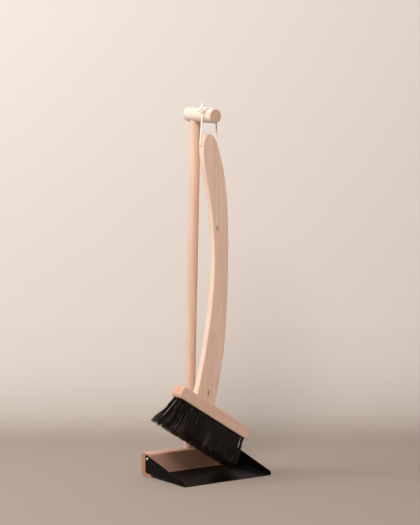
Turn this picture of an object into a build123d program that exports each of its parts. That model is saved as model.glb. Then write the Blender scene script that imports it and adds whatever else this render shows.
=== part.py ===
from build123d import *
import math
import os

# Dustpan and brush set: a folded steel pan with an upright pole and crossbar, and a long-handled
# brush that hangs from the crossbar on a cord loop.
# Millimetres. +X is the pan's width, the pan's open front faces -Y, +Z is up. The origin is on the
# ground, under the point where the pole's axis meets the top of the wooden back.

# Pan: one folded sheet
PAN_WIDTH = 248.0
SHEET = 1.0
FOLD_RADIUS = 3.0
LIP_REACH = 158.0
LIP_HEIGHT = 9.0
LIP_NOSE_RADIUS = 4.0
FLOOR_RISE = 6.0
SIDE_HEIGHT = 51.0
SIDE_FLAT = 7.0
SIDE_OVERLAP = 20.0
SIDE_CORNER_RADIUS = 2.0
TONGUE_DEPTH = 13.0
TONGUE_INSET = 2.0
KERF_CLEARANCE = 0.1

# Wooden back
BACK_DEPTH = 38.0
BACK_HEIGHT = 55.5
BACK_REAR_RADIUS = 6.0
BACK_FRONT_RADIUS = 4.0
BACK_END_EASE = 1.2

# Pole and crossbar
POLE_DIAMETER = 24.0
POLE_LEAN = 2.1
SOCKET_DEPTH = 40.0
BAR_AXIS_HEIGHT = 843.0
BAR_DIAMETER = 34.0
BAR_LENGTH = 108.0
BAR_BEHIND_POLE = 29.0
BAR_END_RADIUS = 4.0
BAR_BORE_ABOVE_AXIS = 9.0
POLE_END_CHAMFER = 1.0

# Groove that carries the cord
GROOVE_FROM_FRONT = 26.0
GROOVE_DEPTH = 1.2
GROOVE_FLAT = 3.0
GROOVE_FRONT_ANGLE = 18.0
GROOVE_REAR_ANGLE = 45.0

# Screws
SIDE_SCREW_HEAD = 7.0
SIDE_SCREW_HEAD_HEIGHT = 2.2
SIDE_SCREW_SHANK = 3.5
SIDE_SCREW_LENGTH = 22.0
SIDE_SCREW_HOLE_CLEARANCE = 0.4
SIDE_SCREW_BEHIND_FACE = 12.5
SIDE_SCREW_BELOW_TOP = 13.0
POLE_SCREW_HEAD = 8.5
POLE_SCREW_SHANK = 4.5
POLE_SCREW_LENGTH = 26.0
POLE_SCREW_HEIGHT = 33.0
HANDLE_SCREW_HEAD = 8.0
HANDLE_SCREW_SHANK = 4.5
HANDLE_SCREW_LENGTH = 54.0
HANDLE_SCREW_RECESS = 2.0
HANDLE_SCREW_HOLE_CLEARANCE = 0.3
TIP_LENGTH = 5.0
SLOT_WIDTH = 0.9
SLOT_DEPTH = 1.1

# Brush: placed from the cord hole in its handle
HOLE_BELOW_BAR = 68.0
HOLE_DIAMETER = 5.6
CROWN_ABOVE_HOLE = 26.5
CROWN_LEFT_EDGE = -22.0
CROWN_RIGHT_EDGE = 18.5
HANDLE_THICKNESS = 18.0
HANDLE_EDGE_RADIUS = 2.0
TIP_TO_GROUND = 9.5

# Brush block
BLOCK_LENGTH = 230.0
BLOCK_DEPTH = 36.0
BLOCK_THICKNESS = 28.0
BLOCK_TILT = 32.0
BLOCK_SHIFT = 8.0
BLOCK_LOWER_END_RADIUS = 8.0
BLOCK_UPPER_END_RADIUS = 4.0
BLOCK_EDGE_RADIUS = 2.5

# Tufts of hair
TUFT_ROWS = 5
ROW_PITCH = 6.6
TUFT_END_MARGIN = 13.0
TUFT_COLUMNS = 21
TUFT_DIAMETER = 5.0
TUFT_TIP_DIAMETER = 9.0
TUFT_HOLE_DEPTH = 12.0
TUFT_NECK = 1.5
TRIM = 78.0
HEEL_SPLAY = 15.0
TOE_SPLAY = 8.0
ROW_SPLAY = 8.0
SCREW_COLUMNS = (5, 7)
ANCHOR_WIDTH = 4.6
ANCHOR_THICKNESS = 0.5
ANCHOR_HEIGHT = 1.8

# Cord loop
CORD_DIAMETER = 4.0
CORD_GROOVE_CLEARANCE = 0.1
CORD_BAR_CLEARANCE = 0.6
BIGHT_SHIFT = 0.3
MOUTH_CLEARANCE = 3.0
MOUTH_BEND = 4.0
BIGHT_CORNERS = 3
KNOT_ANGLE = 142.0
KNOT_HALF_ANGLE = 5.0
KNOT_RADIAL = 25.0
KNOT_LENGTH = 17.0
KNOT_WIDTH = 12.0
KNOT_TAIL = 13.0
ARC_SHARE = 0.96

# Worked out from the sizes above
BLOCK_FRONT = -BACK_DEPTH / 2
BACK_LENGTH = PAN_WIDTH - 2 * SHEET
FLOOR_ANGLE = math.degrees(math.atan2(FLOOR_RISE, LIP_REACH - BACK_DEPTH / 2))
LEAN = math.radians(POLE_LEAN)
POLE_DIRECTION = Vector(0, -math.sin(LEAN), math.cos(LEAN))
POLE_FOOT = Vector(0, 0, BACK_HEIGHT)
BAR_RADIUS = BAR_DIAMETER / 2
BAR_CROSSING_Y = -(BAR_AXIS_HEIGHT - BACK_HEIGHT) * math.tan(LEAN)
BAR_REAR = BAR_CROSSING_Y + BAR_BEHIND_POLE
BAR_FRONT = BAR_REAR - BAR_LENGTH
POLE_TOP = (BAR_AXIS_HEIGHT + BAR_BORE_ABOVE_AXIS - BACK_HEIGHT) / math.cos(LEAN)
HANG_Y = BAR_FRONT + GROOVE_FROM_FRONT
HOLE_Z = BAR_AXIS_HEIGHT - HOLE_BELOW_BAR
CROWN_Z = HOLE_Z + CROWN_ABOVE_HOLE
TILT = math.radians(BLOCK_TILT)


def pole_point(distance):
    """A point on the pole's axis, measured up from the top of the back."""
    return POLE_FOOT + POLE_DIRECTION * distance


def pole_cylinder(radius, start, end):
    """A round solid on the pole's axis between two distances along it."""
    base = Plane(origin=pole_point(start), z_dir=POLE_DIRECTION)
    return base * Cylinder(radius, end - start, align=(Align.CENTER, Align.CENTER, Align.MIN))


def side_prism(points):
    """A prism across the whole pan from an outline of (y, z) points."""
    outline = make_face(Polyline(*[(0, y, z) for y, z in points], close=True))
    return extrude(outline, amount=PAN_WIDTH, both=True)


# --- Screws: head at the origin, shank along -Z -------------------------------------------------

def screw_shank(diameter, length):
    """A plain shank with a pointed end, its top at the origin."""
    body = Pos(0, 0, -(length - TIP_LENGTH) / 2) * Cylinder(diameter / 2, length - TIP_LENGTH)
    tip_place = Pos(0, 0, -length + TIP_LENGTH / 2) * Rot(180, 0, 0)
    return body + tip_place * Cone(diameter / 2, 0.3, TIP_LENGTH)


def cross_slot(diameter, top):
    """Two crossing slots for the driver, cut down from the height top."""
    slot = Box(diameter * 0.6, SLOT_WIDTH, 2 * SLOT_DEPTH)
    return Pos(0, 0, top) * (slot + Rot(0, 0, 90) * slot)


def round_head_screw(head, head_height, shank, length):
    """A screw with a domed head that stands on the face."""
    sphere_radius = (head * head / 4 + head_height * head_height) / (2 * head_height)
    ball = Pos(0, 0, head_height - sphere_radius) * Sphere(sphere_radius)
    keep = Pos(0, 0, head_height / 2) * Cylinder(head, head_height)
    return (ball & keep) + screw_shank(shank, length) - cross_slot(head, head_height)


def countersink(head, shank):
    """The cone under a flat head, its wide face at the origin."""
    depth = (head - shank) / 2
    return Pos(0, 0, -depth / 2) * Cone(shank / 2, head / 2, depth)


def flat_head_blank(head, shank, length):
    """A countersunk screw without its slot, which is also the shape of its hole."""
    return countersink(head, shank) + screw_shank(shank, length)


def flat_head_screw(head, shank, length):
    """A countersunk screw whose flat top lies at the origin."""
    return flat_head_blank(head, shank, length) - cross_slot(head, 0)


# --- Pan -----------------------------------------------------------------------------------------

def side_outline():
    """The side plate's outline from the rear tab to the front nose, as (y, z) points."""
    tab_rear = BLOCK_FRONT + SIDE_OVERLAP
    tab_floor = FLOOR_RISE + SIDE_OVERLAP * math.tan(math.radians(FLOOR_ANGLE))
    return [
        (tab_rear, tab_floor),
        (tab_rear, SIDE_HEIGHT),
        (tab_rear - SIDE_FLAT, SIDE_HEIGHT),
        (-LIP_REACH, LIP_HEIGHT),
        (-LIP_REACH, 0),
    ]


def channel():
    """The floor and both side plates as one folded channel, longer and taller than needed."""
    half = PAN_WIDTH / 2
    tall = SIDE_HEIGHT + FLOOR_RISE
    corners = [(-half, -tall), (-half, 0), (half, 0), (half, -tall)]
    inner = [(-half + SHEET, -tall), (-half + SHEET, -SHEET), (half - SHEET, -SHEET), (half - SHEET, -tall)]
    outside = FilletPolyline(*corners, radius=FOLD_RADIUS + SHEET)
    inside = FilletPolyline(*inner, radius=FOLD_RADIUS)
    ends = [Line(corners[0], inner[0]), Line(corners[-1], inner[-1])]
    profile = make_face(outside.edges() + inside.edges() + ShapeList(ends))
    slope = math.radians(FLOOR_ANGLE)
    lip = Plane(origin=(0, -LIP_REACH, 0), x_dir=(1, 0, 0), z_dir=(0, math.cos(slope), math.sin(slope)))
    return extrude(lip * profile, amount=LIP_REACH + SIDE_OVERLAP)


def tongue(clearance, inset):
    """The stretch of the pan's floor that is pushed into the wooden back."""
    slope = math.radians(FLOOR_ANGLE)
    length = TONGUE_DEPTH + clearance
    thickness = SHEET + clearance
    width = BACK_LENGTH - 2 * inset
    slab = Pos(0, length / 2 - clearance, SHEET / 2) * Box(width, length + clearance, thickness)
    return Pos(0, BLOCK_FRONT, FLOOR_RISE) * Rot(math.degrees(slope), 0, 0) * slab


def side_screw_places():
    """Left and right places of the side screws, each with the shank pointing into the wood."""
    y = BLOCK_FRONT + SIDE_SCREW_BEHIND_FACE
    z = BACK_HEIGHT - SIDE_SCREW_BELOW_TOP
    left = Pos(-PAN_WIDTH / 2, y, z) * Rot(0, -90, 0)
    right = Pos(PAN_WIDTH / 2, y, z) * Rot(0, 90, 0)
    return left, right


def pan_sheet():
    """The folded steel sheet: floor, two side plates with their rear tabs, and the tongue."""
    prism = side_prism(side_outline())
    top_edges = prism.edges().filter_by(Axis.X).sort_by(Axis.Z)[-2:]
    nose_edge = prism.edges().filter_by(Axis.X).sort_by(Axis.Y)[:2].sort_by(Axis.Z)[-1]
    prism = fillet(top_edges, SIDE_CORNER_RADIUS)
    nose = prism.edges().filter_by(Axis.X).sort_by(lambda e: (e.center() - nose_edge.center()).length)[0]
    prism = fillet(nose, LIP_NOSE_RADIUS)
    sheet = channel() & prism
    behind = Pos(0, BLOCK_FRONT + BACK_DEPTH, BACK_HEIGHT) * Box(BACK_LENGTH, 2 * BACK_DEPTH, 3 * BACK_HEIGHT)
    sheet = sheet - behind + tongue(0, TONGUE_INSET)
    hole_radius = (SIDE_SCREW_SHANK + SIDE_SCREW_HOLE_CLEARANCE) / 2
    for place in side_screw_places():
        sheet -= place * Cylinder(hole_radius, 4 * SHEET)
    return sheet


def back_block():
    """The wooden back: rounded outside edges, a kerf for the sheet, a socket for the pole."""
    block = Pos(0, 0, BACK_HEIGHT / 2) * Box(BACK_LENGTH, BACK_DEPTH, BACK_HEIGHT)
    long_edges = block.edges().filter_by(Axis.X)
    rear = long_edges.sort_by(Axis.Y)[-2:]
    front_top = long_edges.sort_by(Axis.Y)[:2].sort_by(Axis.Z)[-1]
    block = fillet(rear, BACK_REAR_RADIUS)
    front = block.edges().filter_by(Axis.X).sort_by(lambda e: (e.center() - front_top.center()).length)[0]
    block = fillet(front, BACK_FRONT_RADIUS)
    end_faces = block.faces().filter_by(Axis.X)
    block = fillet(end_faces.edges(), BACK_END_EASE)
    block -= tongue(KERF_CLEARANCE, -SHEET)
    block -= pole_cylinder(POLE_DIAMETER / 2, -SOCKET_DEPTH, BACK_HEIGHT)
    for place in side_screw_places():
        block -= place * screw_shank(SIDE_SCREW_SHANK, SIDE_SCREW_LENGTH)
    return block - pole_screw_hole()


def pole_screw_place():
    """Place of the screw that is driven through the rear of the wooden back."""
    return Pos(0, BACK_DEPTH / 2, POLE_SCREW_HEIGHT) * Rot(-90, 0, 0)


def pole_screw_hole():
    """The hole that the pole's screw fills in the wooden back and in the pole."""
    return pole_screw_place() * flat_head_blank(POLE_SCREW_HEAD, POLE_SCREW_SHANK, POLE_SCREW_LENGTH)


def pole_screw():
    """The countersunk screw through the rear of the wooden back into the pole."""
    return pole_screw_place() * flat_head_screw(POLE_SCREW_HEAD, POLE_SCREW_SHANK, POLE_SCREW_LENGTH)


# --- Pole and crossbar ---------------------------------------------------------------------------

def pole():
    """The round pole, seated in the back below and in the crossbar above."""
    rod = pole_cylinder(POLE_DIAMETER / 2, -SOCKET_DEPTH, POLE_TOP)
    rod = chamfer(rod.edges().filter_by(GeomType.CIRCLE), POLE_END_CHAMFER)
    return rod - pole_screw_hole()


def groove_cutter():
    """A ring that cuts the cord's groove, sloped gently towards the bar's front end."""
    floor = BAR_RADIUS - GROOVE_DEPTH
    outer = BAR_RADIUS + GROOVE_DEPTH
    front_run = 2 * GROOVE_DEPTH / math.tan(math.radians(GROOVE_FRONT_ANGLE))
    rear_run = 2 * GROOVE_DEPTH / math.tan(math.radians(GROOVE_REAR_ANGLE))
    half = GROOVE_FLAT / 2
    points = [
        (0, HANG_Y - half, floor),
        (0, HANG_Y + half, floor),
        (0, HANG_Y + half + rear_run, outer),
        (0, HANG_Y - half - front_run, outer),
    ]
    ring = revolve(make_face(Polyline(*points, close=True)), Axis.Y, 360)
    return Pos(0, 0, BAR_AXIS_HEIGHT) * ring


def crossbar():
    """The turned crossbar with rounded ends, its groove and the pole's blind bore."""
    middle = Pos(0, (BAR_REAR + BAR_FRONT) / 2, BAR_AXIS_HEIGHT)
    bar = middle * Rot(90, 0, 0) * Cylinder(BAR_RADIUS, BAR_LENGTH)
    bar = fillet(bar.edges().filter_by(GeomType.CIRCLE), BAR_END_RADIUS)
    bar -= groove_cutter()
    bore_start = POLE_TOP - 2 * BAR_DIAMETER
    return bar - pole_cylinder(POLE_DIAMETER / 2, bore_start, POLE_TOP)


# --- Brush ---------------------------------------------------------------------------------------

def tuft_angle(column_shift):
    """How far a tuft leans along the block; the hair at the two ends fans out."""
    reach = BLOCK_LENGTH / 2 - TUFT_END_MARGIN
    share = column_shift / reach
    splay = TOE_SPLAY if share > 0 else HEEL_SPLAY
    return splay * share ** 3


def block_middle_height():
    """Height of the block's middle that leaves the lowest tips just above the ground."""
    reach = BLOCK_LENGTH / 2 - TUFT_END_MARGIN
    below = BLOCK_THICKNESS / 2 + TRIM
    toe = math.radians(TOE_SPLAY)
    along = reach + TRIM * math.tan(toe)
    tip_rim = TUFT_TIP_DIAMETER / 2 * math.sin(TILT + toe)
    return TIP_TO_GROUND + along * math.sin(TILT) + below * math.cos(TILT) + tip_rim


BLOCK_PLACE = Pos(BLOCK_SHIFT, HANG_Y, block_middle_height()) * Rot(0, BLOCK_TILT, 0)


def tuft_places():
    """For each row, the place of every tuft: origin on the block's underside, -Z along the hair."""
    reach = BLOCK_LENGTH / 2 - TUFT_END_MARGIN
    pitch = 2 * reach / (TUFT_COLUMNS - 1)
    rows = []
    for row in range(TUFT_ROWS):
        offset = (row - (TUFT_ROWS - 1) / 2) * ROW_PITCH
        staggered = row % 2
        lean = ROW_SPLAY * (row - (TUFT_ROWS - 1) / 2) / ((TUFT_ROWS - 1) / 2)
        places = []
        for column in range(TUFT_COLUMNS - staggered):
            shift = -reach + pitch * (column + staggered / 2)
            if row == TUFT_ROWS // 2 and column in SCREW_COLUMNS:
                continue
            spot = Pos(shift, offset, -BLOCK_THICKNESS / 2)
            places.append((spot * Rot(lean, -tuft_angle(shift), 0), tuft_angle(shift), lean))
        rows.append(places)
    return rows


def screw_shifts():
    """Distances along the block of the two handle screws, from its middle."""
    reach = BLOCK_LENGTH / 2 - TUFT_END_MARGIN
    pitch = 2 * reach / (TUFT_COLUMNS - 1)
    return [-reach + pitch * column for column in SCREW_COLUMNS]


def handle_screw_places():
    """Places of the two screws in the block's underside, each pointing up into the handle."""
    depth = -BLOCK_THICKNESS / 2 + HANDLE_SCREW_RECESS
    return [BLOCK_PLACE * Pos(shift, 0, depth) * Rot(180, 0, 0) for shift in screw_shifts()]


def handle_screws():
    """The two long screws up through the block into the foot of the handle."""
    screw = flat_head_screw(HANDLE_SCREW_HEAD, HANDLE_SCREW_SHANK, HANDLE_SCREW_LENGTH)
    return [place * screw for place in handle_screw_places()]


def brush_block():
    """The wooden block, bored for the tufts and for the two handle screws."""
    block = Box(BLOCK_LENGTH, BLOCK_DEPTH, BLOCK_THICKNESS)
    end_edges = block.edges().filter_by(Axis.Y).sort_by(Axis.Z)
    block = fillet(end_edges[:2], BLOCK_LOWER_END_RADIUS)
    upper = block.edges().filter_by(Axis.Y).group_by(Axis.Z)[-1]
    block = fillet(upper, BLOCK_UPPER_END_RADIUS)
    sides = block.faces().filter_by(Axis.Y)
    block = fillet(sides.edges(), BLOCK_EDGE_RADIUS)
    bores = []
    for places in tuft_places():
        for place, _, _ in places:
            bores.append(place * Cylinder(TUFT_DIAMETER / 2, 2 * TUFT_HOLE_DEPTH))
    for shift in screw_shifts():
        seat = Pos(shift, 0, -BLOCK_THICKNESS / 2) * Rot(180, 0, 0)
        clearance = HANDLE_SCREW_SHANK + HANDLE_SCREW_HOLE_CLEARANCE
        bores.append(seat * Cylinder(HANDLE_SCREW_HEAD / 2, 2 * HANDLE_SCREW_RECESS))
        bores.append(seat * Pos(0, 0, -HANDLE_SCREW_RECESS) * countersink(HANDLE_SCREW_HEAD, HANDLE_SCREW_SHANK))
        bores.append(seat * Cylinder(clearance / 2, 3 * BLOCK_THICKNESS))
    return BLOCK_PLACE * (block - bores)


def handle_outline():
    """The bowed board's outline in (x, z): one smooth line up one edge, over the crown and down."""
    foot = block_middle_height()
    span = HOLE_Z - foot
    rising = [(-58.5, 0), (-11, 0.277), (9.5, 0.6), (-2.8, 0.797), (-20, 0.94), (CROWN_LEFT_EDGE, 1)]
    falling = [(CROWN_RIGHT_EDGE, 1), (35, 0.91), (46.5, 0.77), (49.5, 0.61), (39.5, 0.275), (4, -0.01)]
    left = [(x, foot + span * share) for x, share in rising]
    right = [(x, foot + span * share) for x, share in falling]
    crown = [(-18.5, CROWN_Z - 11.5), (-7.5, CROWN_Z), (9.5, CROWN_Z - 9)]
    curve = Spline(*left, *crown, *right, tangents=[(0.42, 1), (-0.25, -1)]).edges()[0]
    pieces = ShapeList([curve.trim(part / 4, (part + 1) / 4) for part in range(4)])
    foot_edge = Line(right[-1], left[0])
    return Plane.XZ * make_face(pieces + ShapeList([foot_edge]))


def brush_handle():
    """The curved board with a cord hole through its width, cut to sit on the block."""
    board = extrude(handle_outline(), amount=HANDLE_THICKNESS / 2, both=True)
    board = Pos(0, HANG_Y, 0) * board
    rims = board.faces().filter_by(Axis.Y).edges().filter_by(GeomType.LINE, reverse=True)
    board = fillet(rims, HANDLE_EDGE_RADIUS)
    below = Box(2 * BLOCK_LENGTH, 3 * BLOCK_DEPTH, BLOCK_LENGTH)
    board -= BLOCK_PLACE * Pos(0, 0, BLOCK_THICKNESS / 2 - BLOCK_LENGTH / 2) * below
    board -= Pos(0, HANG_Y, HOLE_Z) * Rot(0, 90, 0) * Cylinder(HOLE_DIAMETER / 2, BLOCK_LENGTH)
    for place in handle_screw_places():
        board -= place * screw_shank(HANDLE_SCREW_SHANK, HANDLE_SCREW_LENGTH)
    return board


def tuft(length):
    """One round bundle of hair, straight in its hole and spread towards its trimmed end."""
    points = [
        (0, 0, TUFT_HOLE_DEPTH),
        (TUFT_DIAMETER / 2, 0, TUFT_HOLE_DEPTH),
        (TUFT_DIAMETER / 2, 0, -TUFT_NECK),
        (TUFT_TIP_DIAMETER / 2, 0, -length),
        (0, 0, -length),
    ]
    bundle = revolve(make_face(Polyline(*points, close=True)), Axis.Z, 360)
    return bundle - anchor()


def anchor():
    """The flat wire staple that the tuft is folded over at the bottom of its hole."""
    middle = TUFT_HOLE_DEPTH - ANCHOR_HEIGHT / 2
    return Pos(0, 0, middle) * Box(ANCHOR_WIDTH, ANCHOR_THICKNESS, ANCHOR_HEIGHT)


def bristle_row(places):
    """All tufts of one row, as separate solids."""
    tufts = []
    for place, along, across in places:
        length = TRIM / (math.cos(math.radians(along)) * math.cos(math.radians(across)))
        tufts.append(BLOCK_PLACE * place * tuft(length))
    return tufts


def anchor_row(places):
    """All staples of one row, as separate solids."""
    return [BLOCK_PLACE * place * anchor() for place, _, _ in places]


# --- Cord ----------------------------------------------------------------------------------------

def bight_radius():
    """Radius of the cord's centreline over the bar, wide enough to pass the bar's front end."""
    return BAR_RADIUS + CORD_BAR_CLEARANCE + CORD_DIAMETER / 2


def bight_middle():
    """Centre of the cord's arc over the bar, in (x, z)."""
    top = BAR_AXIS_HEIGHT + BAR_RADIUS - GROOVE_DEPTH + CORD_GROOVE_CLEARANCE + CORD_DIAMETER / 2
    return BIGHT_SHIFT, top - bight_radius()


def bight_point(angle, radius):
    """A point around the bight's centre, in (x, z)."""
    x, z = bight_middle()
    turn = math.radians(angle)
    return x + radius * math.cos(turn), z + radius * math.sin(turn)


def mouth(side):
    """Where the cord turns into the hole: just outside the handle's left (-1) or right (+1) edge."""
    edge = {-1: CROWN_LEFT_EDGE, 1: CROWN_RIGHT_EDGE}[side]
    return edge + side * MOUTH_CLEARANCE, HOLE_Z


def leg_angle(side):
    """Angle on the bight at which the straight leg to one mouth leaves it."""
    x, z = mouth(side)
    middle_x, middle_z = bight_middle()
    distance = math.hypot(x - middle_x, z - middle_z)
    towards = math.degrees(math.atan2(z - middle_z, x - middle_x))
    return towards + side * math.degrees(math.acos(bight_radius() / distance))


def cord_route():
    """Corners (x, z) and bend radii of the cord, from the knot over the bar and back up to the knot."""
    radius = bight_radius()
    start = KNOT_ANGLE - KNOT_HALF_ANGLE
    step = (start - leg_angle(1)) / BIGHT_CORNERS
    outside = radius / math.cos(math.radians(step / 2))
    over = [bight_point(start - step * (index + 0.5), outside) for index in range(BIGHT_CORNERS)]
    end = KNOT_ANGLE + KNOT_HALF_ANGLE
    rise = leg_angle(-1) + 360 - end
    shoulder = bight_point(end + rise / 2, radius / math.cos(math.radians(rise / 2)))
    corners = [bight_point(start, radius), *over, mouth(1), mouth(-1), shoulder, bight_point(end, radius)]
    radii = [radius] * BIGHT_CORNERS + [MOUTH_BEND, MOUTH_BEND, radius]
    return corners, radii


def hanging_cord():
    """The cord as a round tube along its whole route."""
    corners, radii = cord_route()
    points = [(x, HANG_Y, z) for x, z in corners]
    path = FilletPolyline(*points, radius=[radius * ARC_SHARE for radius in radii])
    start = Plane(origin=path @ 0, z_dir=path % 0)
    tube = sweep(start * Circle(CORD_DIAMETER / 2), path=path)
    section = math.pi * CORD_DIAMETER ** 2 / 4
    print("cord length", round(path.length, 1), "radii", [round(radius, 1) for radius in radii])
    print("cord volume over section times length", round(tube.volume / (section * path.length), 4))
    return tube


def knot_tail(direction_x, direction_z, shift):
    """A short cut end of the cord that sticks out of the knot."""
    x, z = bight_point(KNOT_ANGLE, KNOT_RADIAL)
    base = Plane(origin=(x, HANG_Y + shift, z), z_dir=(direction_x, 0, direction_z))
    return base * Cylinder(CORD_DIAMETER / 2, KNOT_TAIL, align=(Align.CENTER, Align.CENTER, Align.MIN))


def cord_knot(cord):
    """The knot beside the bar, with its two cut ends."""
    x, z = bight_point(KNOT_ANGLE, KNOT_RADIAL)
    lump = scale(Sphere(1), by=(KNOT_WIDTH / 2, KNOT_WIDTH / 2, KNOT_LENGTH / 2))
    knot = Pos(x, HANG_Y, z) * Rot(0, -KNOT_ANGLE, 0) * lump
    knot += knot_tail(0.22, 1, -1.5)
    knot += knot_tail(-0.8, -1, 1.5)
    return knot - cord


# --- Output --------------------------------------------------------------------------------------

def write(name, shape):
    """Write one sub-part as parts/name.step."""
    solids = shape if isinstance(shape, list) else [shape]
    body = solids[0] if len(solids) == 1 else Compound(children=solids)
    export_step(body, os.path.join("parts", name + ".step"))


def main():
    os.makedirs("parts", exist_ok=True)
    screw = round_head_screw(SIDE_SCREW_HEAD, SIDE_SCREW_HEAD_HEIGHT, SIDE_SCREW_SHANK, SIDE_SCREW_LENGTH)
    left_place, right_place = side_screw_places()
    write("pan_sheet", pan_sheet())
    write("back_block", back_block())
    write("left_side_screw", left_place * screw)
    write("right_side_screw", right_place * screw)
    write("pole", pole())
    write("pole_screw", pole_screw())
    write("crossbar", crossbar())
    write("brush_handle", brush_handle())
    write("brush_block", brush_block())
    write("handle_screws", handle_screws())
    for number, places in enumerate(tuft_places(), start=1):
        write(f"bristle_row_{number}", bristle_row(places))
        write(f"anchor_row_{number}", anchor_row(places))
    cord = hanging_cord()
    write("hanging_cord", cord)
    write("cord_knot", cord_knot(cord))


main()
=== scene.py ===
import math
import random

import bpy
import numpy as np
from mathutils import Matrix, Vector


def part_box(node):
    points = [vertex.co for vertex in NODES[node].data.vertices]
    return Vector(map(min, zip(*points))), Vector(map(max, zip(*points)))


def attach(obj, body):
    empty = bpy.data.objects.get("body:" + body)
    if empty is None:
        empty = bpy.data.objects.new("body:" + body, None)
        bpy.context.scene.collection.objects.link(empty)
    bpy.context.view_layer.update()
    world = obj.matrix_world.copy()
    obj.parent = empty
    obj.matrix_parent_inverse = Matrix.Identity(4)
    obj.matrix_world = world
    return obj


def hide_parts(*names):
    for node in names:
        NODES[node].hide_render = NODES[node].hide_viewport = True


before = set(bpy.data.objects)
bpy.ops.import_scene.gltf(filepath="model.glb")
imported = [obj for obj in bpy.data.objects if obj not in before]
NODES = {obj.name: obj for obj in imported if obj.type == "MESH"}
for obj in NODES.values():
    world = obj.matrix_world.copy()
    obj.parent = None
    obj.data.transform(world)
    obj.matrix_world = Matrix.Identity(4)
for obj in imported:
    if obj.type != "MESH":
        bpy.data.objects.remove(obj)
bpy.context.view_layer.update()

# Looks for the dustpan and brush set. Metres, in the frame of the CAD model: +X along the pan's
# width, the pan's open front faces -Y, +Z up, the origin on the ground under the pole's foot.

# Camera, at the photograph's viewing angle
CAMERA_PLACE = (-3.1472, -4.4590, 1.0938)
CAMERA_HEADING = 35.74
CAMERA_DROP = 6.256
CAMERA_LENS = 160.45
CAMERA_REACH = 60.0
SENSOR_LONG_SIDE = 36.0

# Brush block and tufts, as in the CAD model
BLOCK_LENGTH = 0.230
BLOCK_THICKNESS = 0.028
BLOCK_TILT = 32.0
TUFT_ROWS = 5
ROW_PITCH = 0.0066
TUFT_COLUMNS = 21
TUFT_END_MARGIN = 0.013
SCREW_COLUMNS = (5, 7)
TRIM = 0.078
HEEL_SPLAY = 15.0
TOE_SPLAY = 8.0
ROW_SPLAY = 8.0
SPLAY_POWER = 3

# Hair: a tuft is made of clumps, and the hairs of a clump share its waves, length and tone
CLUMPS_PER_TUFT = 10
HAIRS_PER_CLUMP = 14
HAIR_SEED = 20
HAIR_POINTS = 10
HAIR_SIDES = 3
HAIR_RADIUS = 0.00027
HAIR_TAPER = 0.45
HAIR_ROOT_DEPTH = 0.001
HAIR_BASE_SPREAD = 0.0045
HAIR_TIP_SPREAD = 0.0062
SIDEWAYS_SHARE = 0.55
FLARE_POWER = 0.6
CLUMP_SWAY = (0.0010, 0.0055)
CLUMP_WAVES = (0.5, 1.7)
CLUMP_SHORTFALL = 0.008
CLUMP_TONE_POWER = 1.6
TIP_SCATTER = 0.0011
STRAY_TIP_SCATTER = 0.0055
STRAY_SHARE = 0.05
LENGTH_SCATTER = (-0.003, 0.0008)
SWAY_SHARE = (0.7, 1.3)
PHASE_SCATTER = 0.35
TONE_SCATTER = 0.12
# Painted shade: how dark a hair is at its root against its tip, for the shade of the block and the
# other hairs
ROOT_PAINTED_SHADE = 0.4

# Cord loop: the route's corners in (x, z), on the plane of the groove
CORD_DIAMETER = 0.004
CURVE_RESOLUTION = 40
GROOVE_FROM_FRONT = 0.026
CORD_ROUTE = [
    (-0.01780, 0.85720),
    (-0.01300, 0.85750),
    (-0.00847, 0.86064),
    (0.00784, 0.86115),
    (0.01970, 0.84993),
    (0.02028, 0.82594),
    (0.02124, 0.78600),
    (0.02150, 0.77500),
    (0.01050, 0.77500),
    (-0.01400, 0.77500),
    (-0.02500, 0.77500),
    (-0.02407, 0.78600),
    (-0.02085, 0.82385),
    (-0.01881, 0.84785),
    (-0.01760, 0.85200),
    (-0.01940, 0.85540),
]
BRAID_STRANDS = 8
BRAID_PITCH = 0.0126
BRAID_RELIEF = 0.09
BRAID_STEP = 0.00035
BRAID_SIDES = 48

# Knot: an overhand knot beside the bar
KNOT_PLACE = (-0.0194, 0.8567)
KNOT_ANGLE = 142.0
KNOT_LOOP_LENGTH = 0.0021
KNOT_LOOP_WIDTH = 0.0019
KNOT_LOOP_DEPTH = 0.0021
KNOT_OPENING = 0.35
KNOT_POINTS = 30
KNOT_TAILS = [(-0.0095, 0.0068), (0.0135, 0.0062)]


def hang_y():
    """The plane of the crossbar's groove, in which the cord and the brush hang."""
    low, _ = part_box("crossbar")
    return low.y + GROOVE_FROM_FRONT


# --- Shader helpers -----------------------------------------------------------------------------

# The colour sockets of a Mix node
MIX_FIRST = 6
MIX_SECOND = 7
MIX_RESULT = 2


def grey(value):
    return (value, value, value)


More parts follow.
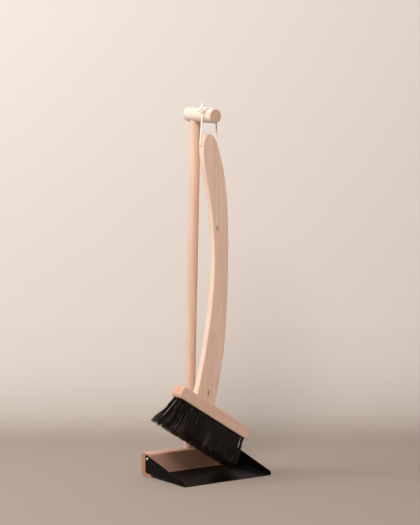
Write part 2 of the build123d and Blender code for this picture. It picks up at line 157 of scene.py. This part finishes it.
class Shader:
    """A node material that is built one node at a time."""

    def __init__(self, name):
        self.material = bpy.data.materials.new(name)
        self.material.use_nodes = True
        self.tree = self.material.node_tree
        self.tree.nodes.clear()
        self.surface = self.add("ShaderNodeBsdfPrincipled")
        self.output = self.add("ShaderNodeOutputMaterial")
        self.link(self.surface, 0, self.output, "Surface")

    def add(self, kind, **values):
        """A node; values that name one of its sockets set that socket, others set an attribute."""
        node = self.tree.nodes.new(kind)
        for key, value in values.items():
            title = key.replace("_", " ")
            if title in node.inputs:
                node.inputs[title].default_value = value
            else:
                setattr(node, key, value)
        return node

    def link(self, source, output, target, socket):
        self.tree.links.new(source.outputs[output], target.inputs[socket])

    def ramp(self, source, output, stops):
        """A colour ramp; stops are pairs of (place, colour)."""
        node = self.add("ShaderNodeValToRGB")
        elements = node.color_ramp.elements
        while len(elements) < len(stops):
            elements.new(0.5)
        for element, (place, colour) in zip(elements, stops):
            element.position = place
            element.color = (*colour, 1.0)
        self.link(source, output, node, "Fac")
        return node

    def multiply(self, first, second, share):
        """first's colour times second's, by the given share."""
        node = self.add("ShaderNodeMix", data_type="RGBA", blend_type="MULTIPLY")
        node.inputs[0].default_value = share
        self.link(first[0], first[1], node, MIX_FIRST)
        self.link(second[0], second[1], node, MIX_SECOND)
        return node

    def bump(self, height, output, strength, distance):
        node = self.add("ShaderNodeBump", Strength=strength, Distance=distance)
        self.link(height, output, node, "Height")
        self.link(node, "Normal", self.surface, "Normal")

    def noise(self, source, output, scale, detail, roughness=0.5):
        """A noise texture at the places that the source gives."""
        node = self.add("ShaderNodeTexNoise", Scale=scale, Detail=detail, Roughness=roughness)
        self.link(source, output, node, "Vector")
        return node

    def stretch(self, source, scale):
        """The source's places, scaled; a small number draws a pattern out along that axis."""
        node = self.add("ShaderNodeMapping", Scale=scale)
        self.link(source, 0, node, "Vector")
        return node


# --- Materials ----------------------------------------------------------------------------------

WHITE = grey(1.0)
WOOD_LIGHT = (0.84, 0.645, 0.535)
WOOD_DARK = (0.775, 0.565, 0.455)
WOOD_SPECULAR = 0.35

# The wood's layers: how each is stretched (its grain runs along Z), its noise and its tones
BAND_STRETCH = (1.0, 1.0, 0.02)
BAND_NOISE = (150.0, 5.0, 0.6)
BAND_DARK_PLACE = 0.38
BAND_LIGHT_PLACE = 0.62
FIBRE_STRETCH = (1.0, 1.0, 0.03)
FIBRE_NOISE = (900.0, 4.0, 0.6)
FIBRE_TONES = [(0.32, (0.90, 0.87, 0.84)), (0.60, WHITE)]
FIBRE_ROUGHNESS = [(0.3, grey(0.62)), (0.7, grey(0.5))]
FIBRE_BUMP = (0.25, 0.00012)
FLECK_STRETCH = (1.0, 0.5, 0.12)
FLECK_NOISE = (1500.0, 1.0)
FLECK_TONES = [(0.28, (0.74, 0.63, 0.55)), (0.36, WHITE)]
FLECK_SHARE = 0.8
BROAD_NOISE = (9.0, 2.0)
BROAD_TONES = [(0.3, (0.95, 0.93, 0.91)), (0.7, WHITE)]
END_TONES = [(0.55, WHITE), (0.95, (0.80, 0.68, 0.58))]
PIN_STRETCH = (1.0, 1.0, 0.4)
PIN_TONES = [(0.0011, (0.30, 0.20, 0.14)), (0.0026, WHITE)]

# Rotations that bring the grain onto Z
UPRIGHT = (0.0, 0.0, 0.0)
ALONG_X = (0.0, math.radians(90.0), 0.0)
ALONG_Y = (math.radians(90.0), 0.0, 0.0)
ALONG_BLOCK = (0.0, math.radians(-90.0 - BLOCK_TILT), 0.0)

# Wooden nodes: the material's name, the grain's rotation, a shift of the pattern, and a tint; the
# pole's and the back block's tints hold painted shade
WOODEN_NODES = {
    # The pole's tint is partly the pole's own pinker tone and partly painted shade for its shaded side
    "pole": ("pole_wood", UPRIGHT, (0.31, 0.12, 0.0), (0.95, 0.91, 0.89)),
    "brush_handle": ("handle_wood", UPRIGHT, (0.07, 0.0, 0.0), WHITE),
    "crossbar": ("crossbar_wood", ALONG_Y, (0.0, 0.4, 0.0), (1.04, 1.13, 1.20)),
    # The back block's tint is painted shade: it darkens the whole block for the shade of the brush and
    # the pan's sides
    "back_block": ("back_wood_painted_shade", ALONG_X, (0.2, 0.0, 0.0), (0.66, 0.52, 0.47)),
    "brush_block": ("block_wood", ALONG_BLOCK, (0.5, 0.2, 0.0), (0.93, 0.87, 0.86)),
}

# The handle's two small dark knots, in (x, z) on its front face
HANDLE_PINS = [(0.0172, 0.5817), (-0.0080, 0.1991)]


def wood(name, turn, shift, tint, pins):
    """Pale beech. turn is the rotation that brings the grain onto Z; pins are small dark knots."""
    shader = Shader(name)
    coordinates = shader.add("ShaderNodeTexCoord")
    grain = shader.add("ShaderNodeMapping", Rotation=turn, Location=shift)
    shader.link(coordinates, "Object", grain, "Vector")
    fibres = shader.noise(shader.stretch(grain, FIBRE_STRETCH), 0, *FIBRE_NOISE)
    colour = wood_colour(shader, grain, fibres, tint)
    marks = [end_grain(shader, coordinates, turn)]
    marks.extend(pin_knot(shader, coordinates, pin) for pin in pins)
    for mark in marks:
        colour = shader.multiply((colour, MIX_RESULT), (mark, "Color"), 1.0)
    shader.link(colour, MIX_RESULT, shader.surface, "Base Color")
    rough = shader.ramp(fibres, "Fac", FIBRE_ROUGHNESS)
    shader.link(rough, "Color", shader.surface, "Roughness")
    shader.surface.inputs["Specular IOR Level"].default_value = WOOD_SPECULAR
    shader.bump(fibres, "Fac", *FIBRE_BUMP)
    return shader.material


def wood_colour(shader, grain, fibres, tint):
    """Light and dark bands, with fibres, flecks and slow changes of tone over them."""
    dark = tuple(np.multiply(WOOD_DARK, tint))
    light = tuple(np.multiply(WOOD_LIGHT, tint))
    bands = shader.noise(shader.stretch(grain, BAND_STRETCH), 0, *BAND_NOISE)
    tone = shader.ramp(bands, "Fac", [(BAND_DARK_PLACE, dark), (BAND_LIGHT_PLACE, light)])
    fibre_tone = shader.ramp(fibres, "Fac", FIBRE_TONES)
    flecks = shader.noise(shader.stretch(grain, FLECK_STRETCH), 0, *FLECK_NOISE)
    fleck_tone = shader.ramp(flecks, "Fac", FLECK_TONES)
    broad = shader.noise(grain, 0, *BROAD_NOISE)
    broad_tone = shader.ramp(broad, "Fac", BROAD_TONES)
    colour = shader.multiply((tone, "Color"), (fibre_tone, "Color"), 1.0)
    colour = shader.multiply((colour, MIX_RESULT), (fleck_tone, "Color"), FLECK_SHARE)
    return shader.multiply((colour, MIX_RESULT), (broad_tone, "Color"), 1.0)


def end_grain(shader, coordinates, turn):
    """A darker, warmer tone where the surface cuts across the grain."""
    normal = shader.add("ShaderNodeMapping", vector_type="NORMAL", Rotation=turn)
    shader.link(coordinates, "Normal", normal, "Vector")
    parts = shader.add("ShaderNodeSeparateXYZ")
    shader.link(normal, 0, parts, 0)
    across = shader.add("ShaderNodeMath", operation="ABSOLUTE")
    shader.link(parts, "Z", across, 0)
    return shader.ramp(across, 0, END_TONES)


def pin_knot(shader, coordinates, place):
    """A small dark knot, longer along the grain, at a point on the surface."""
    away = shader.add("ShaderNodeVectorMath", operation="SUBTRACT")
    shader.link(coordinates, "Object", away, 0)
    away.inputs[1].default_value = place
    flat = shader.add("ShaderNodeVectorMath", operation="MULTIPLY")
    shader.link(away, 0, flat, 0)
    flat.inputs[1].default_value = PIN_STRETCH
    size = shader.add("ShaderNodeVectorMath", operation="LENGTH")
    shader.link(flat, 0, size, 0)
    return shader.ramp(size, "Value", PIN_TONES)


# Powder coat: noise of its orange peel and of its wear, tones, roughness and gloss
PEEL_NOISE = (900.0, 3.0)
PEEL_BUMP = (0.12, 0.00008)
WEAR_NOISE = (35.0, 5.0)
WEAR_TONES = [(0.3, (0.0012, 0.0010, 0.0009)), (0.75, (0.0028, 0.0023, 0.0021))]
WEAR_ROUGHNESS = [(0.3, grey(0.40)), (0.75, grey(0.50))]
COAT_SPECULAR = 0.12
COAT_SPECULAR_TINT = (0.5, 0.46, 0.45, 1.0)


def powder_coat():
    """Black powder coat: fine orange-peel texture, semi-gloss."""
    shader = Shader("black_powder_coat")
    coordinates = shader.add("ShaderNodeTexCoord")
    peel = shader.noise(coordinates, "Object", *PEEL_NOISE)
    wear = shader.noise(coordinates, "Object", *WEAR_NOISE)
    tone = shader.ramp(wear, "Fac", WEAR_TONES)
    shader.link(tone, "Color", shader.surface, "Base Color")
    rough = shader.ramp(wear, "Fac", WEAR_ROUGHNESS)
    shader.link(rough, "Color", shader.surface, "Roughness")
    shader.surface.inputs["Specular IOR Level"].default_value = COAT_SPECULAR
    shader.surface.inputs["Specular Tint"].default_value = COAT_SPECULAR_TINT
    shader.bump(peel, "Fac", *PEEL_BUMP)
    return shader.material


# Zinc: noise of its polish, the share of its grey at one end and of its roughness at the other
POLISH_NOISE = (700.0, 3.0)
POLISH_DARK = 0.85
POLISH_ROUGH = 1.3
POLISH_PLACES = (0.3, 0.7)
SCREW_GREY = 0.75
SCREW_ROUGHNESS = 0.22
STAPLE_GREY = 0.55
STAPLE_ROUGHNESS = 0.35


def zinc(name, base, roughness):
    """Zinc-plated steel with a faint uneven polish."""
    shader = Shader(name)
    coordinates = shader.add("ShaderNodeTexCoord")
    polish = shader.noise(coordinates, "Object", *POLISH_NOISE)
    tones = zip(POLISH_PLACES, (grey(base * POLISH_DARK), grey(base)))
    tone = shader.ramp(polish, "Fac", list(tones))
    shader.link(tone, "Color", shader.surface, "Base Color")
    roughnesses = zip(POLISH_PLACES, (grey(roughness), grey(roughness * POLISH_ROUGH)))
    rough = shader.ramp(polish, "Fac", list(roughnesses))
    shader.link(rough, "Color", shader.surface, "Roughness")
    shader.surface.inputs["Metallic"].default_value = 1.0
    return shader.material


# Horsehair: its darkest, usual and palest tones, and its gloss
HAIR_TONES = [(0.0, (0.004, 0.0028, 0.0022)), (0.6, (0.013, 0.009, 0.007)), (1.0, (0.30, 0.225, 0.18))]
HAIR_ROUGHNESS = 0.42
HAIR_SPECULAR = 0.28
HAIR_SPECULAR_TINT = (1.0, 0.84, 0.76, 1.0)


def hair():
    """Black-brown horsehair; each hair has its own tone, with painted shade darkening it towards its
    root.
    """
    shader = Shader("horsehair")
    tone = shader.add("ShaderNodeAttribute", attribute_name="tone")
    colour = shader.ramp(tone, "Fac", HAIR_TONES)
    shader.link(colour, "Color", shader.surface, "Base Color")
    shader.surface.inputs["Roughness"].default_value = HAIR_ROUGHNESS
    shader.surface.inputs["Specular IOR Level"].default_value = HAIR_SPECULAR
    shader.surface.inputs["Specular Tint"].default_value = HAIR_SPECULAR_TINT
    return shader.material


# Cotton: noise of its lint, tones, roughness and sheen
LINT_NOISE = (2500.0, 4.0)
LINT_TONES = [(0.3, (0.86, 0.83, 0.77)), (0.65, (0.97, 0.96, 0.93))]
LINT_BUMP = (0.5, 0.0002)
COTTON_ROUGHNESS = 0.9
COTTON_SHEEN = 0.3
COTTON_SHEEN_ROUGHNESS = 0.5


def cotton():
    """Off-white braided cotton."""
    shader = Shader("braided_cotton")
    coordinates = shader.add("ShaderNodeTexCoord")
    lint = shader.noise(coordinates, "Object", *LINT_NOISE)
    tone = shader.ramp(lint, "Fac", LINT_TONES)
    shader.link(tone, "Color", shader.surface, "Base Color")
    shader.surface.inputs["Roughness"].default_value = COTTON_ROUGHNESS
    shader.surface.inputs["Sheen Weight"].default_value = COTTON_SHEEN
    shader.surface.inputs["Sheen Roughness"].default_value = COTTON_SHEEN_ROUGHNESS
    shader.bump(lint, "Fac", *LINT_BUMP)
    return shader.material


# Rounding of the folded sheet's edges
EDGE_WIDTH = 0.0003
EDGE_SEGMENTS = 2
EDGE_LEAST_TURN = 50.0
WELD_DISTANCE = 0.00001


def paint(node, material):
    """Gives a CAD node its material."""
    data = NODES[node].data
    data.materials.clear()
    data.materials.append(material)


def round_edges(node):
    """Takes the sharpness off a CAD node's edges."""
    piece = NODES[node]
    weld = piece.modifiers.new("weld", "WELD")
    weld.merge_threshold = WELD_DISTANCE
    bevel = piece.modifiers.new("edges", "BEVEL")
    bevel.width = EDGE_WIDTH
    bevel.segments = EDGE_SEGMENTS
    bevel.limit_method = "ANGLE"
    bevel.angle_limit = math.radians(EDGE_LEAST_TURN)
    bevel.harden_normals = True


def paint_nodes():
    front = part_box("brush_handle")[0].y
    for node, (name, turn, shift, tint) in WOODEN_NODES.items():
        places = HANDLE_PINS if node == "brush_handle" else []
        pins = [(x, front, z) for x, z in places]
        paint(node, wood(name, turn, shift, tint, pins))
    paint("pan_sheet", powder_coat())
    round_edges("pan_sheet")
    bright = zinc("zinc_screw", SCREW_GREY, SCREW_ROUGHNESS)
    for node in ("left_side_screw", "right_side_screw", "pole_screw", "handle_screws"):
        paint(node, bright)
    wire = zinc("staple_wire", STAPLE_GREY, STAPLE_ROUGHNESS)
    for row in range(1, TUFT_ROWS + 1):
        paint(f"anchor_row_{row}", wire)


# --- Mesh helpers -------------------------------------------------------------------------------

def new_mesh(name, points, faces, material):
    """A smooth-shaded mesh object from arrays of points and faces."""
    mesh = bpy.data.meshes.new(name)
    mesh.from_pydata(points, [], faces)
    mesh.polygons.foreach_set("use_smooth", [True] * len(mesh.polygons))
    mesh.materials.append(material)
    mesh.update()
    piece = bpy.data.objects.new(name, mesh)
    bpy.context.scene.collection.objects.link(piece)
    return piece


# --- Hair ---------------------------------------------------------------------------------------

def block_frame():
    """The brush block's middle and its own axes: along it, across it and up out of it."""
    low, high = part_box("brush_block")
    tilt = math.radians(BLOCK_TILT)
    along = np.array((math.cos(tilt), 0.0, -math.sin(tilt)))
    across = np.array((0.0, 1.0, 0.0))
    up = np.array((math.sin(tilt), 0.0, math.cos(tilt)))
    return np.array((low + high) / 2), along, across, up


def tuft_lean(shift, reach):
    """How far a tuft leans along the block, in radians."""
    share = shift / reach
    splay = TOE_SPLAY if share > 0 else HEEL_SPLAY
    return math.radians(splay * share ** SPLAY_POWER)


def tufts(row):
    """The row's tufts: distances along and across the block, and leans along and across it."""
    reach = BLOCK_LENGTH / 2 - TUFT_END_MARGIN
    pitch = 2 * reach / (TUFT_COLUMNS - 1)
    middle = (TUFT_ROWS - 1) / 2
    staggered = row % 2
    found = []
    for column in range(TUFT_COLUMNS - staggered):
        if row == TUFT_ROWS // 2 and column in SCREW_COLUMNS:
            continue
        shift = -reach + pitch * (column + staggered / 2)
        lean = math.radians(ROW_SPLAY * (row - middle) / middle)
        found.append((shift, (row - middle) * ROW_PITCH, tuft_lean(shift, reach), lean))
    return found


def draw_clump(draw):
    """How one clump of hairs runs: where its tips meet, its waves, its length and its tone."""
    spread = HAIR_TIP_SPREAD * math.sqrt(draw.random())
    turn = draw.uniform(0.0, 2 * math.pi)
    return {
        "tip": (spread * math.cos(turn), spread * math.sin(turn)),
        "sway": draw.uniform(*CLUMP_SWAY),
        "phase": draw.uniform(0.0, 2 * math.pi),
        "waves": draw.uniform(*CLUMP_WAVES),
        "heading": draw.uniform(0.0, 2 * math.pi),
        "length": TRIM - draw.random() ** 2 * CLUMP_SHORTFALL,
        "tone": draw.random() ** CLUMP_TONE_POWER,
    }


def hair_line(draw, tuft, clump):
    """The points of one hair, in the block's own axes from its middle, and its tone."""
    shift, offset, along_lean, across_lean = tuft
    radius = HAIR_BASE_SPREAD * math.sqrt(draw.random())
    turn = draw.uniform(0.0, 2 * math.pi)
    base = (radius * math.cos(turn), radius * math.sin(turn) * SIDEWAYS_SHARE)
    scatter = STRAY_TIP_SCATTER if draw.random() < STRAY_SHARE else TIP_SCATTER
    tip = [place + draw.gauss(0.0, scatter) for place in clump["tip"]]
    depth = clump["length"] + draw.uniform(*LENGTH_SCATTER)
    sway = clump["sway"] * draw.uniform(*SWAY_SHARE)
    phase = clump["phase"] + draw.gauss(0.0, PHASE_SCATTER)
    points = []
    for index in range(HAIR_POINTS):
        t = index / (HAIR_POINTS - 1)
        down = depth * t
        swing = sway * t * math.sin(phase + clump["waves"] * 2 * math.pi * t)
        flare = t ** FLARE_POWER
        along = shift + base[0] + (tip[0] - base[0]) * flare
        along += down * math.tan(along_lean) * math.sqrt(t)
        along += swing * math.cos(clump["heading"])
        across = offset + base[1] + (tip[1] * SIDEWAYS_SHARE - base[1]) * flare
        across += down * math.tan(across_lean)
        across += swing * math.sin(clump["heading"]) * SIDEWAYS_SHARE
        points.append((along, across, -BLOCK_THICKNESS / 2 + HAIR_ROOT_DEPTH - down))
    tone = min(1.0, max(0.0, clump["tone"] + draw.gauss(0.0, TONE_SCATTER)))
    return points, tone


def hair_faces(start):
    """Faces of one hair's tube, closed at both ends; start is the index of its first point."""
    faces = []
    for index in range(HAIR_POINTS - 1):
        lower = start + index * HAIR_SIDES
        for side in range(HAIR_SIDES):
            after = (side + 1) % HAIR_SIDES
            upper = lower + HAIR_SIDES
            faces.append((lower + side, upper + side, upper + after, lower + after))
    last = start + (HAIR_POINTS - 1) * HAIR_SIDES
    faces.append(tuple(last + side for side in reversed(range(HAIR_SIDES))))
    faces.append(tuple(start + side for side in range(HAIR_SIDES)))
    return faces


def hair_tube(line):
    """The points of one hair's tube, thinner towards its tip, in the block's own axes."""
    ring = [2 * math.pi * side / HAIR_SIDES for side in range(HAIR_SIDES)]
    section = np.array([(math.cos(turn), math.sin(turn), 0.0) for turn in ring])
    rings = []
    for index, place in enumerate(line):
        share = 1.0 - HAIR_TAPER * index / (HAIR_POINTS - 1)
        rings.append(np.array(place) + section * HAIR_RADIUS * share)
    return np.concatenate(rings)


def hair_row(row, material):
    """All hairs of one row of tufts, as one mesh of thin tubes."""
    draw = random.Random(HAIR_SEED + row)
    middle, along, across, up = block_frame()
    axes = np.array((along, across, up))
    points = []
    faces = []
    tones = []
    for tuft in tufts(row):
        for _ in range(CLUMPS_PER_TUFT):
            clump = draw_clump(draw)
            for _ in range(HAIRS_PER_CLUMP):
                line, tone = hair_line(draw, tuft, clump)
                faces.extend(hair_faces(len(points)))
                points.extend(map(tuple, middle + hair_tube(line) @ axes))
                for index in range(HAIR_POINTS):
                    # Painted shade: the tone darkens towards the hair's root
                    shade = ROOT_PAINTED_SHADE + (1.0 - ROOT_PAINTED_SHADE) * index / (HAIR_POINTS - 1)
                    tones.extend([tone * shade] * HAIR_SIDES)
    piece = new_mesh(f"hair_row_{row + 1}", points, faces, material)
    attribute = piece.data.attributes.new("tone", "FLOAT", "POINT")
    attribute.data.foreach_set("value", np.array(tones, np.float32))
    return piece


def add_hair():
    material = hair()
    for row in range(TUFT_ROWS):
        piece = hair_row(row, material)
        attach(piece, "brush")
        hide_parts(f"bristle_row_{row + 1}")


# --- Cord ---------------------------------------------------------------------------------------

def smooth_line(name, corners):
    """Points close together on the smooth line that has these corners as its control points."""
    curve = bpy.data.curves.new(name, "CURVE")
    curve.dimensions = "3D"
    spline = curve.splines.new("NURBS")
    spline.points.add(len(corners) - 1)
    for point, place in zip(spline.points, corners):
        point.co = (*place, 1.0)
    spline.order_u = 3
    spline.use_endpoint_u = True
    curve.resolution_u = CURVE_RESOLUTION
    carrier = bpy.data.objects.new(name, curve)
    mesh = bpy.data.meshes.new_from_object(carrier)
    points = np.array([vertex.co for vertex in mesh.vertices])
    bpy.data.meshes.remove(mesh)
    bpy.data.objects.remove(carrier)
    bpy.data.curves.remove(curve)
    return points


def even_steps(points, step):
    """The same line with its points a fixed distance apart, and the distance to each."""
    lengths = np.linalg.norm(np.diff(points, axis=0), axis=1)
    travelled = np.concatenate(([0.0], np.cumsum(lengths)))
    places = np.linspace(0.0, travelled[-1], round(travelled[-1] / step) + 1)
    line = np.stack([np.interp(places, travelled, points[:, axis]) for axis in range(3)], axis=1)
    return line, places


def carried_sides(line):
    """Two directions square to the line at each point, carried along it without a twist."""
    tangents = np.gradient(line, axis=0)
    tangents /= np.linalg.norm(tangents, axis=1)[:, None]
    side = np.array((0.0, 1.0, 0.0))
    sides = []
    for tangent in tangents:
        side = side - tangent * (side @ tangent)
        side = side / np.linalg.norm(side)
        sides.append(side)
    sides = np.array(sides)
    return sides, np.cross(tangents, sides)


def braided_tube(name, points, diameter, material):
    """A braided cord along a line: strands wound both ways, each lying over and under the others."""
    line, places = even_steps(points, BRAID_STEP)
    sides, ups = carried_sides(line)
    turn = np.linspace(0.0, 2 * math.pi, BRAID_SIDES, endpoint=False)
    wound = 2 * math.pi * places[:, None] / BRAID_PITCH
    one_way = np.cos(BRAID_STRANDS / 2 * (turn + wound))
    other_way = np.cos(BRAID_STRANDS / 2 * (turn - wound))
    weave = np.maximum(one_way, other_way)
    radius = diameter / 2 * (1.0 - BRAID_RELIEF * (1.0 - weave) / 2)
    around = np.cos(turn)[None, :, None] * sides[:, None, :]
    around = around + np.sin(turn)[None, :, None] * ups[:, None, :]
    rings = line[:, None, :] + around * radius[:, :, None]
    faces = []
    for ring in range(len(line) - 1):
        start = ring * BRAID_SIDES
        ahead = start + BRAID_SIDES
        for side in range(BRAID_SIDES):
            after = (side + 1) % BRAID_SIDES
            faces.append((start + side, start + after, ahead + after, ahead + side))
    last = (len(line) - 1) * BRAID_SIDES
    faces.append(tuple(reversed(range(BRAID_SIDES))))
    faces.append(tuple(last + side for side in range(BRAID_SIDES)))
    return new_mesh(name, rings.reshape(-1, 3).tolist(), faces, material), line


def knot_line():
    """An overhand knot, tightened beside the bar, with its two cut ends."""
    angle = math.radians(KNOT_ANGLE)
    outward = np.array((math.cos(angle), 0.0, math.sin(angle)))
    upward = np.array((math.sin(angle), 0.0, -math.cos(angle)))
    middle = np.array((KNOT_PLACE[0], hang_y(), KNOT_PLACE[1]))

    def place(along, out, depth):
        return middle + upward * along + outward * out + np.array((0.0, depth, 0.0))

    corners = []
    for step in range(KNOT_POINTS):
        turn = math.pi + KNOT_OPENING + (2 * math.pi - 2 * KNOT_OPENING) * step / (KNOT_POINTS - 1)
        along = KNOT_LOOP_LENGTH * (math.sin(turn) + 2 * math.sin(2 * turn))
        out = -KNOT_LOOP_WIDTH * (math.cos(turn) - 2 * math.cos(2 * turn))
        corners.append(place(along, out, KNOT_LOOP_DEPTH * math.sin(3 * turn)))
    lift = KNOT_LOOP_DEPTH * math.sin(3 * KNOT_OPENING)
    lower, upper = KNOT_TAILS
    corners.insert(0, place(lower[0], lower[1], -lift))
    corners.append(place(upper[0], upper[1], lift))
    return smooth_line("knot_line", corners)


def add_cord():
    material = cotton()
    route = smooth_line("cord_line", [(x, hang_y(), z) for x, z in CORD_ROUTE])
    cord, path = braided_tube("cord_loop", route, CORD_DIAMETER, material)
    knot, _ = braided_tube("overhand_knot", knot_line(), CORD_DIAMETER, material)
    for piece, node in ((cord, "hanging_cord"), (knot, "cord_knot")):
        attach(piece, "cord_loop")
        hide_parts(node)


# --- Stage --------------------------------------------------------------------------------------

WALL_BEHIND = 0.62
COVE_RADIUS = 0.25
STAGE_HALF_WIDTH = 6.0
STAGE_FRONT = 7.0
STAGE_HEIGHT = 5.0
COVE_STEPS = 16

# The paper's tones by height, its roughness and its gloss
PAPER_TONES = [
    (0.0, (0.31, 0.265, 0.228)),
    (0.05, (0.44, 0.40, 0.36)),
    (0.26, (0.76, 0.72, 0.68)),
]
PAPER_ROUGHNESS = 0.8
PAPER_SPECULAR = 0.2

# Lights: name, bearing from the camera's view, height, distance, size, power and colour
LIGHTS = [
    ("key", 84.0, 2.0, 2.4, 1.4, 29.0, (0.91, 0.965, 1.0)),
    ("front_fill", 12.0, 3.4, 3.0, 1.6, 80.0, (1.0, 0.92, 0.87)),
    ("rear_fill", 190.0, 2.8, 3.4, 2.0, 30.0, (1.0, 0.95, 0.91)),
]
LIGHT_SPREAD = 140.0
LIGHT_TARGET = (0.0, 0.0, 0.45)
WORLD_COLOUR = (1.0, 0.90, 0.83, 1.0)
WORLD_STRENGTH = 0.41


def stage_material():
    shader = Shader("pale_studio_paper")
    coordinates = shader.add("ShaderNodeTexCoord")
    heights = shader.add("ShaderNodeSeparateXYZ")
    shader.link(coordinates, "Object", heights, 0)
    tone = shader.ramp(heights, "Z", PAPER_TONES)
    shader.link(tone, "Color", shader.surface, "Base Color")
    shader.surface.inputs["Roughness"].default_value = PAPER_ROUGHNESS
    shader.surface.inputs["Specular IOR Level"].default_value = PAPER_SPECULAR
    clear_from_behind(shader)
    return shader.material


def clear_from_behind(shader):
    """Lets a camera behind the backdrop look through it at the object."""
    side = shader.add("ShaderNodeNewGeometry")
    clear = shader.add("ShaderNodeBsdfTransparent")
    mix = shader.add("ShaderNodeMixShader")
    shader.link(side, "Backfacing", mix, 0)
    shader.link(shader.surface, 0, mix, 1)
    shader.link(clear, 0, mix, 2)
    shader.link(mix, 0, shader.output, "Surface")


def stage_profile():
    """The backdrop's (y, z) profile, from the floor's front edge up to the wall's top."""
    cove_start = WALL_BEHIND - COVE_RADIUS
    profile = [(-STAGE_FRONT, 0.0), (cove_start, 0.0)]
    for step in range(1, COVE_STEPS + 1):
        turn = math.radians(90.0 * step / COVE_STEPS)
        reach = cove_start + COVE_RADIUS * math.sin(turn)
        profile.append((reach, COVE_RADIUS * (1.0 - math.cos(turn))))
    profile.append((WALL_BEHIND, STAGE_HEIGHT))
    return profile


def add_stage():
    """A pale floor that curves up into a backdrop, square to the camera, and runs on behind it."""
    profile = stage_profile()
    points = []
    for side in (-STAGE_HALF_WIDTH, STAGE_HALF_WIDTH):
        points.extend((side, y, z) for y, z in profile)
    count = len(profile)
    faces = [(i, i + count, i + count + 1, i + 1) for i in range(count - 1)]
    rear = len(points)
    for side in (-STAGE_HALF_WIDTH, STAGE_HALF_WIDTH):
        points.extend(((side, WALL_BEHIND - COVE_RADIUS, 0.0), (side, STAGE_FRONT, 0.0)))
    faces.append((rear, rear + 2, rear + 3, rear + 1))
    floor = new_mesh("studio_floor", points, faces, stage_material())
    floor.rotation_euler = (0.0, 0.0, math.radians(-CAMERA_HEADING))


def area_light(name, bearing, height, distance, size, power, colour):
    """A soft light at a bearing from the camera's view, turned towards the object's middle."""
    data = bpy.data.lights.new(name, "AREA")
    data.shape = "DISK"
    data.size = size
    data.energy = power
    data.color = colour
    data.spread = math.radians(LIGHT_SPREAD)
    light = bpy.data.objects.new(name, data)
    turn = math.radians(CAMERA_HEADING + bearing)
    place = Vector((-math.sin(turn) * distance, -math.cos(turn) * distance, height))
    target = Vector(LIGHT_TARGET)
    light.location = place
    light.rotation_euler = (target - place).to_track_quat("-Z", "Y").to_euler()
    bpy.context.scene.collection.objects.link(light)


def add_lights():
    world = bpy.data.worlds.new("studio")
    world.use_nodes = True
    background = world.node_tree.nodes["Background"]
    background.inputs["Color"].default_value = WORLD_COLOUR
    background.inputs["Strength"].default_value = WORLD_STRENGTH
    bpy.context.scene.world = world
    for light in LIGHTS:
        area_light(*light)


def add_camera():
    data = bpy.data.cameras.new("camera")
    data.lens = CAMERA_LENS
    data.sensor_width = SENSOR_LONG_SIDE
    data.sensor_fit = "AUTO"
    data.clip_end = CAMERA_REACH
    camera = bpy.data.objects.new("camera", data)
    camera.location = CAMERA_PLACE
    camera.rotation_euler = (math.radians(90.0 - CAMERA_DROP), 0.0, math.radians(-CAMERA_HEADING))
    bpy.context.scene.collection.objects.link(camera)
    bpy.context.scene.camera = camera


def set_colour():
    settings = bpy.context.scene.view_settings
    settings.view_transform = "Standard"
    settings.look = "None"


paint_nodes()
add_cord()
add_hair()
add_stage()
add_lights()
add_camera()
set_colour()
